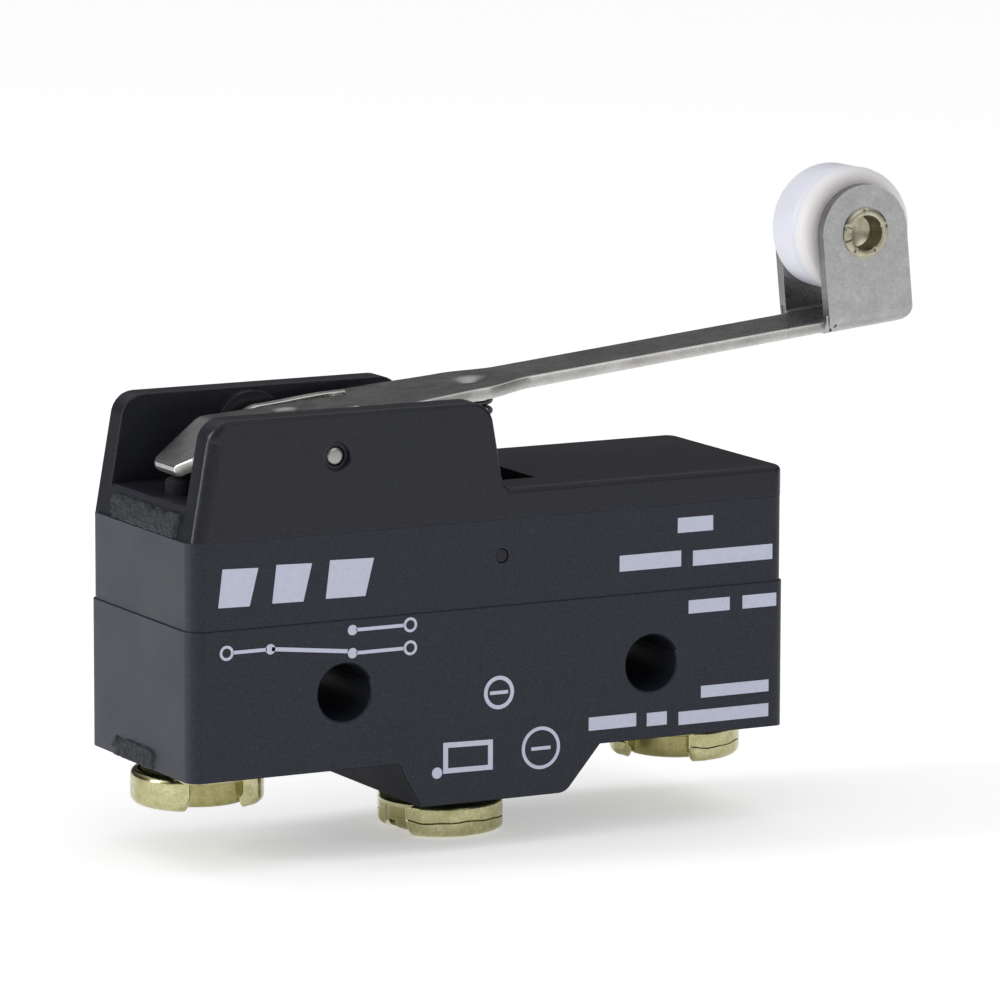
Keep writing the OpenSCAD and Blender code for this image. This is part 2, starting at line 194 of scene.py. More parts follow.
def arc(centre, radius, start, end, steps):
    centre = Vector(centre)
    return [centre + radius * Vector((cos(a), sin(a)))
            for a in (radians(start + (end - start) * i / steps) for i in range(steps + 1))]


def rounded_rect(x0, x1, half, radius, steps=8, first_radius=None):
    """Plan outline; first_radius is the corner at low X on the printed side."""
    first = first_radius or radius
    return (arc((x1 - radius, -half + radius), radius, -90, 0, steps)
            + arc((x1 - radius, half - radius), radius, 0, 90, steps)
            + arc((x0 + radius, half - radius), radius, 90, 180, steps)
            + arc((x0 + first, -half + first), first, 180, 270, steps))


def housing_plan(shrink):
    return rounded_rect(X_LEFT + shrink, X_RIGHT - shrink, HALF_W - shrink, CORNER_R, 8, CORNER_FRONT_R)


def lathe_bm(profile, centre, axis, segments=64):
    """Turned solid from an open or axis-to-axis profile of (radius, height) points."""
    bm = bmesh.new()
    rings = []
    for radius, height in profile:
        if radius < 1e-6:
            ring = [bm.verts.new(placed(axis, (0, 0), height))]
        else:
            ring = [bm.verts.new(placed(axis, radius * Vector((cos(a), sin(a))), height))
                    for a in (2 * pi * k / segments for k in range(segments))]
        rings.append(ring)
    closed = rings if len(rings[0]) == 1 else rings + rings[:1]
    for near, far in zip(closed, closed[1:]):
        for k in range(segments):
            m = (k + 1) % segments
            corners = [near[k % len(near)], near[m % len(near)], far[m % len(far)], far[k % len(far)]]
            unique = list(dict.fromkeys(corners))
            if len(unique) > 2:
                bm.faces.new(unique)
    bmesh.ops.translate(bm, verts=bm.verts, vec=Vector(centre))
    return bm


def lathe(*args, **kwargs):
    return work(lathe_bm(*args, **kwargs))


def drill(radius, centre, axis, low, high, segments=48):
    return lathe([(0, low), (radius, low), (radius, high), (0, high)], centre, axis, segments)


def mouth(radius, wide, depth, centre, axis, face, way):
    """Flared cutter that breaks the edge of a hole where it meets a face; way points into the solid."""
    profile = [(0, face - way * 0.5), (wide + 0.5 * (wide - radius) / depth, face - way * 0.5)]
    profile += [(radius, face + way * depth), (0, face + way * depth)]
    return lathe(profile, centre, axis, 48)


def tube_bm(points, radius, sides):
    """Round wire along a list of 3D points."""
    bm = bmesh.new()
    normal = None
    rings = []
    for i, point in enumerate(points):
        ahead = points[min(i + 1, len(points) - 1)] - points[max(i - 1, 0)]
        ahead.normalize()
        if normal is None:
            normal = ahead.orthogonal().normalized()
        normal = (normal - ahead * normal.dot(ahead)).normalized()
        side = ahead.cross(normal)
        rings.append([bm.verts.new(point + radius * (cos(a) * normal + sin(a) * side))
                      for a in (2 * pi * k / sides for k in range(sides))])
    for near, far in zip(rings, rings[1:]):
        for k in range(sides):
            m = (k + 1) % sides
            bm.faces.new((near[k], near[m], far[m], far[k]))
    bm.faces.new(rings[0])
    bm.faces.new(rings[-1])
    return bm


def split_faces(obj, chosen):
    """Sets each face's material from its normal: the test gives the material's place in the list."""
    picks = [int(chosen(face.normal)) for face in obj.data.polygons]
    obj.data.polygons.foreach_set("material_index", picks)


def finish_piece(obj, name, body, materials, replaces=(), sharp=32, weighted=True):
    """Names and scales a worked piece, smooths edges under the sharp angle, and hangs it."""
    obj.name = obj.data.name = name
    # Clearing the slots also resets every face to the first one, so the split is read before and set after
    split = [min(face.material_index, len(materials) - 1) for face in obj.data.polygons]
    obj.data.materials.clear()
    for material in materials:
        obj.data.materials.append(material)
    obj.data.polygons.foreach_set("material_index", split)
    obj.data.transform(Matrix.Scale(MM, 4))
    obj.data.shade_smooth()
    obj.data.set_sharp_from_angle(angle=radians(sharp))
    if weighted:
        smoothing = obj.modifiers.new("face_weights", "WEIGHTED_NORMAL")
        smoothing.keep_sharp = True
        smoothing.weight = 80
    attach(obj, body)
    if replaces:
        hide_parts(*replaces)


# ---------------- material helpers
class Shader:
    """A material's node graph, built with a few short calls."""

    def __init__(self, name):
        self.material = bpy.data.materials.new(name)
        self.material.use_nodes = True
        self.tree = self.material.node_tree
        self.tree.nodes.clear()
        self.surface = self.node("ShaderNodeBsdfPrincipled")
        self.output = self.node("ShaderNodeOutputMaterial")
        self.link(self.surface.outputs[0], self.output.inputs[0])
        self.place = self.node("ShaderNodeTexCoord").outputs["Object"]

    def node(self, kind):
        return self.tree.nodes.new(kind)

    def link(self, source, target):
        self.tree.links.new(source, target)

    def feed(self, value, target):
        if isinstance(value, (int, float)):
            target.default_value = value
        elif isinstance(value, tuple):
            target.default_value = (*value, 1.0) if len(target.default_value) == 4 else value
        else:
            self.link(value, target)

    def stretched(self, scale):
        mapping = self.node("ShaderNodeMapping")
        mapping.inputs["Scale"].default_value = scale
        self.link(self.place, mapping.inputs["Vector"])
        return mapping.outputs[0]

    def noise(self, scale, detail=3.0, rough=0.55, vector=None, distortion=0.0):
        texture = self.node("ShaderNodeTexNoise")
        texture.inputs["Scale"].default_value = scale
        texture.inputs["Detail"].default_value = detail
        texture.inputs["Roughness"].default_value = rough
        texture.inputs["Distortion"].default_value = distortion
        self.link(vector or self.place, texture.inputs["Vector"])
        return texture.outputs["Fac"]

    def ramp(self, factor, *stops):
        ramp = self.node("ShaderNodeValToRGB")
        elements = ramp.color_ramp.elements
        while len(elements) < len(stops):
            elements.new(0.5)
        for element, (position, colour) in zip(elements, stops):
            element.position = position
            element.color = (*colour, 1.0) if isinstance(colour, tuple) else (colour, colour, colour, 1.0)
        self.link(factor, ramp.inputs[0])
        return ramp.outputs[0]

    def mix(self, first, second, factor):
        mix = self.node("ShaderNodeMix")
        mix.data_type = "RGBA"
        self.feed(factor, mix.inputs[0])
        self.feed(first, mix.inputs[6])
        self.feed(second, mix.inputs[7])
        return mix.outputs[2]

    def math(self, operation, first, second=0.0, third=0.5):
        step = self.node("ShaderNodeMath")
        step.operation = operation
        self.feed(first, step.inputs[0])
        self.feed(second, step.inputs[1])
        self.feed(third, step.inputs[2])
        return step.outputs[0]

    def edges(self, radius, low=0.01, high=0.12):
        """1 along edges, 0 on flat ground, from how far rounding would turn the surface."""
        rounded = self.node("ShaderNodeBevel")
        rounded.samples = 6
        rounded.inputs["Radius"].default_value = radius
        flat = self.node("ShaderNodeNewGeometry")
        product = self.node("ShaderNodeVectorMath")
        product.operation = "DOT_PRODUCT"
        self.link(rounded.outputs[0], product.inputs[0])
        self.link(flat.outputs["Normal"], product.inputs[1])
        turned = self.math("SUBTRACT", 1.0, product.outputs["Value"])
        return self.ramp(turned, (low, 0.0), (high, 1.0))

    def bump(self, height, strength, distance, normal=None):
        bump = self.node("ShaderNodeBump")
        bump.inputs["Strength"].default_value = strength
        bump.inputs["Distance"].default_value = distance
        self.link(height, bump.inputs["Height"])
        if normal is not None:
            self.link(normal, bump.inputs["Normal"])
        return bump.outputs[0]

    def set(self, **sockets):
        for name, value in sockets.items():
            self.feed(value, self.surface.inputs[name.replace("_", " ").title().replace("Ior", "IOR")])
        return self.material


def moulded(name, dark, light, rough=(0.34, 0.5), grain=1.0, shine=0.26):
    """Dark moulded thermoset: fine grain, faint flow marks, and paler edges that are partly rubbed wear and
    partly a painted highlight.
    """
    s = Shader(name)
    fine = s.noise(14000, 2.0, 0.6)
    cloud = s.noise(160, 4.0, 0.6, distortion=0.4)
    flow = s.noise(1.0, 3.0, 0.5, s.stretched((90, 240, 700)))
    speck = s.ramp(s.noise(5200, 1.0, 0.5), (0.62, 0.0), (0.72, 1.0))
    tooth = s.ramp(s.noise(5200, 3.0, 0.75), (0.36, 0.0), (0.64, 1.0))
    edge_mask = s.edges(0.00012)
    body = s.mix(dark, light, s.ramp(cloud, (0.3, 0.0), (0.75, 1.0)))
    for pattern, gain, share in ((flow, 1.25, 0.25), (tooth, 1.9, 0.42), (speck, 1.9, 0.3)):
        body = s.mix(body, tuple(gain * c for c in light), s.math("MULTIPLY", pattern, share))
    # Paler edges: partly rubbed wear, partly a painted highlight, broken into dashes by the cloud
    patchy = s.math("MULTIPLY", cloud, 0.8)
    body = s.mix(body, tuple(5.0 * c for c in light), s.math("MULTIPLY", edge_mask, patchy))
    roughness = s.ramp(s.mix(cloud, fine, 0.4), (0.3, rough[0]), (0.7, rough[1]))
    coarse = s.bump(flow, 0.12, 0.00006)
    normal = s.bump(fine, 0.35 * grain, 0.00002, coarse)
    return s.set(base_color=body, roughness=roughness, specular_ior_level=shine, normal=normal)


def metal(name, dark, light, rough=(0.25, 0.42), brush=(160, 5200, 5200), scuff=0.5, spots=None,
          stain_depth=0.1):
    """Cold-worked metal: drawing lines, cloudy stain, bright rubbed edges, and specks of another tone."""
    s = Shader(name)
    lines = s.noise(1.0, 3.0, 0.65, s.stretched(brush))
    stain = s.noise(420, 5.0, 0.62, distortion=0.6)
    mottle = s.ramp(s.noise(4200, 3.0, 0.7), (0.35, 0.0), (0.65, 1.0))
    fine = s.noise(11000, 2.0, 0.5)
    edge_mask = s.edges(0.0001)
    body = s.mix(dark, light, s.ramp(stain, (0.32, 0.0), (0.7, 1.0)))
    body = s.mix(body, tuple(0.8 * c for c in dark), s.ramp(lines, (0.45, 0.0), (0.95, 0.4)))
    body = s.mix(body, tuple(0.78 * c for c in dark), s.math("MULTIPLY", mottle, 0.4))
    if spots:
        spotted = s.ramp(s.noise(1300, 4.0, 0.7), (0.54, 0.0), (0.72, 0.55))
        body = s.mix(body, spots, spotted)
    body = s.mix(body, tuple(min(1.0, 1.25 * c) for c in light), s.math("MULTIPLY", edge_mask, 0.7))
    roughness = s.ramp(s.mix(stain, lines, 0.45), (0.3, rough[0]), (0.75, rough[1]))
    soft = s.bump(stain, stain_depth, 0.00003)
    normal = s.bump(s.mix(lines, fine, 0.4), 0.25 * scuff, 0.000012, soft)
    return s.set(base_color=body, metallic=1.0, roughness=roughness, normal=normal)


def nylon(name):
    """White nylon: translucent, satin, with turning marks, a faint grey scuff where it rolls, and painted
    light on the near half.
    """
    s = Shader(name)
    cloud = s.noise(260, 3.0, 0.5)
    rings = s.noise(1.0, 2.0, 0.5, s.stretched((60, 4200, 60)))
    scuff = s.ramp(s.noise(900, 5.0, 0.7), (0.6, 0.0), (0.78, 1.0))
    across = s.node("ShaderNodeSeparateXYZ")
    s.link(s.place, across.inputs[0])
    # Painted light: the near half of the roller is painted lighter and pinker
    near_half_painted_light = s.ramp(s.math("MULTIPLY_ADD", across.outputs["Y"], 200.0), (0.1, 1.0), (0.3, 0.0))
    body = s.mix((0.775, 0.785, 0.91), (0.835, 0.84, 0.95), cloud)
    body = s.mix(body, (0.93, 0.875, 0.875), near_half_painted_light)
    body = s.mix(body, (0.62, 0.61, 0.63), s.math("MULTIPLY", scuff, 0.18))
    roughness = s.ramp(cloud, (0.3, 0.34), (0.7, 0.5))
    normal = s.bump(rings, 0.12, 0.00002, s.bump(cloud, 0.08, 0.00004))
    s.set(subsurface_weight=0.75, subsurface_radius=(0.0036, 0.0033, 0.0033), subsurface_scale=1.0)
    return s.set(base_color=body, roughness=roughness, normal=normal)


def ink(name):
    """Pad-printed ink: slightly uneven film with pinholes."""
    s = Shader(name)
    film = s.noise(2600, 3.0, 0.6)
    thin = s.ramp(s.noise(5200, 2.0, 0.6), (0.60, 0.0), (0.76, 1.0))
    body = s.mix((0.50, 0.53, 0.66), (0.62, 0.65, 0.78), film)
    body = s.mix(body, (0.30, 0.32, 0.40), s.math("MULTIPLY", thin, 0.5))
    roughness = s.ramp(film, (0.3, 0.45), (0.7, 0.62))
    return s.set(base_color=body, roughness=roughness, normal=s.bump(film, 0.2, 0.00001))


HOUSING = moulded("housing_plastic", (0.0135, 0.0155, 0.0225), (0.0185, 0.0212, 0.0308))
HOUSING_END = moulded("housing_broken_gate", (0.016, 0.017, 0.020), (0.033, 0.035, 0.039), (0.45, 0.65),
                      4.0, 0.15)
# Painted shade: a darker, duller copy of the housing plastic for the slopes and the underside
HOUSING_UNDER_SHADED = moulded("housing_underside_painted_shade", (0.007, 0.0075, 0.010), (0.010, 0.011, 0.014), (0.5, 0.65),
                        1.0, 0.06)
COVER_PLASTIC = moulded("cover_plastic", (0.0108, 0.0116, 0.0155), (0.0150, 0.0160, 0.0215), (0.22, 0.34))
# Painted shade: a darker, duller copy of the cover plastic for the end wall and the ears' ends
COVER_END_SHADED = moulded("cover_end_wall_painted_shade", (0.007, 0.0075, 0.010), (0.0105, 0.0115, 0.015), (0.45, 0.6),
                    1.4, 0.10)
DARK_PLASTIC = moulded("pin_plastic", (0.012, 0.012, 0.014), (0.018, 0.018, 0.02), (0.45, 0.6))
# Painted shade: the plunger's plastic is painted darker than the housing's
PLUNGER_PLASTIC_SHADED = moulded("plunger_plastic", (0.006, 0.006, 0.007), (0.014, 0.014, 0.016), (0.5, 0.65),
                          1.0, 0.08)
SHEET = metal("lever_sheet", (0.37, 0.37, 0.37), (0.50, 0.50, 0.495), (0.235, 0.34), (2600, 4200, 4200),
              1.3, (0.31, 0.30, 0.25), stain_depth=0.03)
PUNCHED = metal("lever_punched_edge", (0.20, 0.20, 0.195), (0.31, 0.31, 0.30), (0.36, 0.5),
                (600, 2400, 2400), 0.9)
SHEARED = metal("lever_sheared_edge", (0.62, 0.61, 0.58), (0.80, 0.79, 0.75), (0.3, 0.45),
                (2400, 2400, 600), 0.6)
PIN_STEEL = metal("pin_steel", (0.34, 0.34, 0.33), (0.5, 0.5, 0.48), (0.3, 0.45), (2600, 300, 2600), 0.8)
RIVET = metal("rivet_steel", (0.38, 0.36, 0.26), (0.58, 0.555, 0.44), (0.24, 0.42), (1600, 1600, 1600), 1.2,
              (0.28, 0.25, 0.14))
SPRING = metal("spring_steel", (0.10, 0.10, 0.11), (0.22, 0.22, 0.23), (0.25, 0.4), (900, 900, 900), 0.6)
BRASS = metal("terminal_brass", (0.37, 0.35, 0.165), (0.68, 0.645, 0.39), (0.14, 0.3), (700, 700, 2600),
              1.0, (0.24, 0.22, 0.10))
SCREW = metal("screw_brass", (0.26, 0.235, 0.09), (0.46, 0.42, 0.20), (0.2, 0.38), (1500, 1500, 3400), 1.0,
              (0.22, 0.19, 0.08))
COPPER = metal("blade_copper", (0.48, 0.25, 0.13), (0.66, 0.38, 0.22), (0.2, 0.36))
SILVER = metal("contact_silver", (0.62, 0.61, 0.58), (0.80, 0.79, 0.76), (0.25, 0.42), (900, 900, 900), 0.8)
NYLON = nylon("roller_nylon")
INK = ink("marking_ink")


# ---------------- housing
def cut_mounting_holes(obj):
    """Both through holes, with their edges broken at each face."""
    chamfer = 0.14
    for x in (-HOLE_X, HOLE_X):
        cut(obj, drill(HOLE_R, (x, 0, 0), *THROUGH, 64))
        for way in (-1, 1):
            cut(obj, mouth(HOLE_R, HOLE_R + chamfer, chamfer, (x, 0, 0), "Y", way * HALF_W, -way))


def make_base():
    """Lower moulding: centre block, hollow inside, bosses round the holes, slots for the terminals."""
    rim_r, seam_r = 0.12, 0.07
    outline = [(X_LEFT, Z_CASE), (X_LEFT, Z_BOTTOM)]
    outline += [(-8.3, Z_BOTTOM), (-6.45, Z_BLOCK)] + arc((4.9, Z_BLOCK + 1.3), 1.3, -90, -35, 6)
    outline += [(8.4, Z_BOTTOM), (X_RIGHT, Z_BOTTOM), (X_RIGHT, Z_CASE)]
    base = plate(outline, "Y", -HALF_W, HALF_W, rim_r, rim_r)
    keep(base, plate(housing_plan(0), "Z", Z_BLOCK - OVER, Z_CASE, 0, seam_r))
    hollow = box((X_LEFT + WALL, -HALF_W + WALL, Z_BOTTOM + INNER_FLOOR),
                 (X_RIGHT - WALL, HALF_W - WALL, Z_CASE + OVER))
    for x in (-HOLE_X, HOLE_X):
        cut(hollow, drill(HOLE_BOSS_R, (x, 0, 0), "Y", -HALF_W, HALF_W))
        cut(hollow, box((x - HOLE_BOSS_R, -HALF_W, Z_BOTTOM), (x + HOLE_BOSS_R, HALF_W, 0)))
    cut(base, hollow)
    slot_near, slot_far, slot_half, shank_r, shank_deep = 2.55, 3.45, 2.55, 2.15, 2.8
    for x, z, side in zip(TERMINALS_X, (Z_BOTTOM, Z_BLOCK, Z_BOTTOM), (1, 1, -1)):
        near, far = sorted((x + side * slot_near, x + side * slot_far))
        cut(base, box((near, -slot_half, z - OVER), (far, slot_half, Z_BOTTOM + 3.6)))
        cut(base, drill(shank_r, (x, 0, 0), "Z", z - OVER, z + shank_deep))
    cut_mounting_holes(base)
    # The slopes and the underside are painted darker and duller than the sides: painted shade on the faces
    # turned down
    split_faces(base, lambda normal: normal.z < -0.3)
    finish_piece(base, "base_moulding", "housing", [HOUSING, HOUSING_UNDER_SHADED], ["base"])


def make_case():
    """Middle moulding, and the small pin across it with a raised rim at each end."""
    half = HALF_W - CASE_INSET
    centre = (SIDE_PIN_X, 0, SIDE_PIN_Z)
    hole_r = SIDE_PIN_R + 0.02
    case = plate(housing_plan(CASE_INSET), "Z", Z_CASE, Z_COVER, 0.04, 0.07)
    cut(case, box((X_LEFT + WALL, -HALF_W + WALL, Z_CASE - OVER),
                  (X_RIGHT - WALL, HALF_W - WALL, Z_COVER - CASE_ROOF)))
    cut(case, drill(PLUNGER_BORE_R, (PLUNGER_X, 0, 0), "Z", Z_CASE, Z_COVER + OVER))
    cut(case, drill(hole_r, centre, *THROUGH))
    finish_piece(case, "middle_moulding", "housing", [HOUSING], ["middle_case"])
    for way in (-1, 1):
        face = way * half
        section = [(0.62, face + way * 0.012), (0.72, face - way * 0.05), (hole_r, face - way * 0.05)]
        rim = lathe(section, centre, "Y", 40)
        name = "case_pin_rim_" + ("back" if way > 0 else "front")
        finish_piece(rim, name, "housing", [DARK_PLASTIC])
    end = half - 0.09
    profile = [(0, -end - 0.02), (0.3, -end - 0.015), (0.47, -end + 0.01), (SIDE_PIN_R, -end + 0.1)]
    profile += [(r, -h) for r, h in reversed(profile)]
    pin = lathe(profile, centre, "Y", 40)
    finish_piece(pin, "case_cross_pin", "housing", [DARK_PLASTIC], ["case_pin"])


def ear_outline(left_r):
    """Ear seen from the side, with the rounding radius its outer rim has at each corner."""
    left, right = -21.55, -2.35
    crown = Z_EAR - EAR_CROWN_R
    corner = arc((left, crown), EAR_CROWN_R, 172, 90, 12)
    points = [(-25.05, Z_COVER - 2), (-24.7, Z_COVER), (-24.3, Z_DECK)] + corner + [(-12, Z_EAR)]
    points += arc((right, crown), EAR_CROWN_R, 90, 8, 10)
    points += [(0.22, Z_DECK + 0.9)] + arc((1.05, Z_DECK + 0.78), 0.78, 186, 262, 6) + [(1.05, Z_COVER - 2)]
    top_r = 0.3
    radii = [left_r] * 3
    # The wide rounding of the left side fades out over the first part of the upper corner
    radii += [top_r + (left_r - top_r) * max(0.0, 1 - k / 8) ** 0.8 for k in range(len(corner))]
    radii += [top_r] * (len(points) - len(radii))
    return points, radii


def make_cover():
    """Cover with its ears, the hinge pin's bosses, the spring's pocket and the plunger's hole."""
    inner = EAR_FACE - EAR_T
    centre = (PIN.x, 0, PIN.y)
    # The deck on the right has a rounded rim; between the ears the slab is narrow and they run down past it
    cover = plate(housing_plan(COVER_INSET), "Z", Z_COVER - OVER, Z_DECK, 0, 0.45)
    keep(cover, box((0.62, -HALF_W - OVER, Z_COVER - 2), (X_RIGHT + OVER, HALF_W + OVER, Z_DECK + OVER)))
    side = [(-24.95, Z_COVER - OVER), (-24.7, Z_COVER), (-24.33, Z_DECK - 0.25), (-24.1, Z_DECK)]
    side += [(0.8, Z_DECK), (0.8, Z_COVER - OVER)]
    join(cover, plate(side, "Y", -inner - 0.6, inner + 0.6))
    for way, left_r in ((-1, CORNER_FRONT_R), (1, 0.5)):
        points, radii = ear_outline(left_r)
        if way < 0:
            ear = plate(points, "Y", -EAR_FACE, -inner, radii, 0.13, 8)
        else:
            ear = plate(points, "Y", inner, EAR_FACE, 0.13, radii, 8)
        join(cover, ear)
        root, top, rim = way * (inner + 0.1), way * (inner - PIN_BOSS_T), way * (inner - 0.77)
        boss = [(0, root), (PIN_BOSS_R, root), (PIN_BOSS_R, rim), (2.92, top), (0, top)]
        join(cover, lathe(boss, centre, "Y", 64))
    cut(cover, box((X_LEFT - 2, -HALF_W - OVER, Z_COVER - 4), (X_RIGHT + 2, HALF_W + OVER, Z_COVER)))
    cut(cover, drill(PIN_R + 0.02, centre, *THROUGH))
    for way in (-1, 1):
        end, deep = sorted((way * (EAR_FACE + OVER), way * (EAR_FACE - PIN_RECESS)))
        cut(cover, drill(PIN_MOUTH_R, centre, "Y", end, deep, 48))
        cut(cover, mouth(PIN_MOUTH_R, 1.14, 0.12, centre, "Y", way * EAR_FACE, -way))
    pocket_x, pocket_y = 2.9, 5.2
    cut(cover, box((SPRING_X - pocket_x, -pocket_y, Z_COVER - OVER),
                   (SPRING_X + pocket_x, pocket_y, Z_DECK + OVER)))
    cut(cover, drill(PLUNGER_BORE_R, (PLUNGER_X, 0, 0), "Z", Z_COVER - OVER, Z_DECK + OVER))
    # The end wall and the ears' ends are painted darker and duller than the rest of the cover: painted
    # shade
    split_faces(cover, lambda normal: normal.x < -0.93)
    materials = [COVER_PLASTIC, COVER_END_SHADED]
    finish_piece(cover, "cover_with_ears", "housing", materials, ["cover"])


def gate_mark(name, low_point, high_point, y0, y1, proud, seed):
    """Crumbled patch left where a moulding gate was broken off the end wall; low and high are (x, z)."""
    columns, rows = 120, 40
    ramp_w, sunk, root = 0.3, 0.08, 0.25
    low_point, high_point = Vector(low_point), Vector(high_point)
    bm = bmesh.new()
    front, back = [], []
    tall = (high_point - low_point).length
    for j in range(rows + 1):
        for i in range(columns + 1):
            u, v = i / columns, j / rows
            base = low_point.lerp(high_point, v)
            y = y0 + (y1 - y0) * u
            where = Vector((seed, y, base.y))
            ragged = 0.5 * noise.noise(where * 0.8) + 0.28 * noise.noise(where * 2.3)
            border = min(u * (y1 - y0), (1 - u) * (y1 - y0), (1 - v) * tall * 0.9 + 0.1) + ragged
            rise = max(0.0, min(1.0, border / ramp_w))
            crust = noise.fractal(where * 1.5, 0.9, 2.2, 6)
            chips = noise.voronoi(where * 2.4)[0][0]
            depth = rise * proud * max(0.1, 0.55 + 0.55 * crust + 0.9 * chips) - (1 - rise) * sunk
            front.append(bm.verts.new((base.x - depth, y, base.y)))
            back.append(bm.verts.new((base.x + root, y, base.y)))
    step = columns + 1
    for j in range(rows):
        for i in range(columns):
            a = j * step + i
            bm.faces.new((front[a], front[a + 1], front[a + step + 1], front[a + step]))
            bm.faces.new((back[a], back[a + step], back[a + step + 1], back[a + 1]))
    rim = list(range(step)) + [j * step + columns for j in range(1, rows + 1)]
    rim += [rows * step + i for i in range(columns - 1, -1, -1)]
    rim += [j * step for j in range(rows - 1, 0, -1)]
    for a, b in zip(rim, rim[1:] + rim[:1]):
        bm.faces.new((front[a], back[a], back[b], front[b]))
    patch = work(bm)
    finish_piece(patch, name, "housing", [HOUSING_END], sharp=45, weighted=False)


# ---------------- lever
def arm_point(along, rise):
    """Point on the sloping arm's own axes, as (x, z)."""
    return Vector((KNEE.x + along * cos(SLOPE) - rise * sin(SLOPE),
                   KNEE.y + along * sin(SLOPE) + rise * cos(SLOPE)))


AXLE = arm_point(YOKE_X, YOKE_RISE)


def path_with_bends(points, radii, steps=10):
    """Open 2D path whose inner corners are replaced by arcs."""
    path = [points[0]]
    for before, corner, after, radius in zip(points, points[1:], points[2:], radii):
        a, b = (before - corner).normalized(), (after - corner).normalized()
        reach = radius / tan(a.angle(b) / 2)
        start, end = corner + a * reach, corner + b * reach
        for k in range(steps + 1):
            t = k / steps
            path.append((1 - t) ** 2 * start + 2 * t * (1 - t) * corner + t * t * end)
    return path + [points[-1]]


def resampled(path, spacing):
    marks = [0.0]
    for a, b in zip(path, path[1:]):
        marks.append(marks[-1] + (b - a).length)
    count = max(2, round(marks[-1] / spacing))
    out, i = [], 0
    for k in range(count + 1):
        s = marks[-1] * k / count
        while i < len(path) - 2 and marks[i + 1] < s:
            i += 1
        out.append(path[i].lerp(path[i + 1], (s - marks[i]) / max(1e-9, marks[i + 1] - marks[i])))
    return out


def between(table, x):
    """Smoothly interpolated value from (x, value) pairs."""
    for (x0, v0), (x1, v1) in zip(table, table[1:]):
        if x <= x1:
            t = max(0.0, min(1.0, (x - x0) / (x1 - x0)))
            return v0 + (v1 - v0) * t * t * (3 - 2 * t)
    return table[-1][1]


# Half widths of the sheet towards the printed side and away from it, as (x, half width)
NEAR_EDGE = [(-22.9, 1.2), (-21.7, 2.6), (-8.7, 2.6), (-7.7, 4.8), (-6, 4.74)]
FAR_EDGE = [(-22.9, 2.2), (-22.3, 2.6), (-7.0, 2.6), (-5.9, 4.8), (-5, 4.7)]
for table in (NEAR_EDGE, FAR_EDGE):
    table.extend([(1.4, 4.1), (5.6, 2.9), (60, 2.9)])


def make_sheet():
    """Tail, web and arm: one bent strip with rolled-over edges, a spring locator and a staking dimple."""
    path = [Vector((-22.9, 16.12)), Vector((-19.1, 19.2)), KNEE, arm_point(YOKE_X - YOKE_HALF + 0.6, 0)]
    stations = resampled(path_with_bends(path, (1.6, 8.0)), 0.16)
    lanes = 26
    roll, burr = 0.13, 0.05
    bm = bmesh.new()
    rings, tops = [], []
    for i, p in enumerate(stations):
        ahead = (stations[min(i + 1, len(stations) - 1)] - stations[max(i - 1, 0)]).normalized()
        up = Vector((-ahead.y, ahead.x))
        thick = 0.98 - 0.0035 * (p.x + 23)
        from_tip = min(1.0, (p - stations[0]).length / 0.35)
        tip_roll = 0.3 * (1 - sqrt(1 - (1 - from_tip) ** 2))
        near, far = between(NEAR_EDGE, p.x), between(FAR_EDGE, p.x)

        def corner(y, down):
            gap = hypot(p.x - SPRING_X, y)
            dip = 0.42 * (0.5 + 0.5 * cos(pi * min(1.0, gap / 1.75))) ** 1.3
            stake = hypot(p.x - PIN.x, y)
            dip += 0.16 * (1.0 - min(1.0, max(0.0, (stake - 0.62) / 0.42)))
            q = p - up * (down + dip + (tip_roll if down < 0.5 * thick else -0.6 * tip_roll))
            return bm.verts.new((q.x, y, q.y))

        across_y = [-near + roll + (near + far - 2 * roll) * k / lanes for k in range(lanes + 1)]
        top = [corner(y, 0.0) for y in across_y]
        low = [corner(y, thick) for y in reversed(across_y)]
        right = [corner(far - 0.04, 0.045), corner(far, roll), corner(far, thick - burr)]
        left = [corner(-near, thick - burr), corner(-near, roll), corner(-near + 0.04, 0.045)]
        rings.append(top + right + low + left)
    count = len(rings[0])
    for a, b in zip(rings, rings[1:]):
        for k in range(count):
            m = (k + 1) % count
            face = bm.faces.new((a[k], a[m], b[m], b[k]))
            # The second material is for the sheared sides
            side = lanes + 1 <= k < lanes + 3 or k > count - 4
            face.material_index = 1 if side else 0
    for ring in (rings[0], rings[-1]):
        bm.faces.new(ring).material_index = 1
    return work(bm)


def lug_outline():
    """Side plate that carries the hinge pin, as (x, z)."""
    upper = ((-11.4, 19.62), (-9.3, 19.86), (-8.0, 19.98), (-6.4, 20.04), (-4.4, 20.15))
    lower = ((-4.1, 19.2), (-5.0, 17.9), (-6.6, 16.5), (-8.4, 15.6))
    return arc(PIN, 2.1, 262, 92, 18) + [Vector(p) for p in upper + lower]


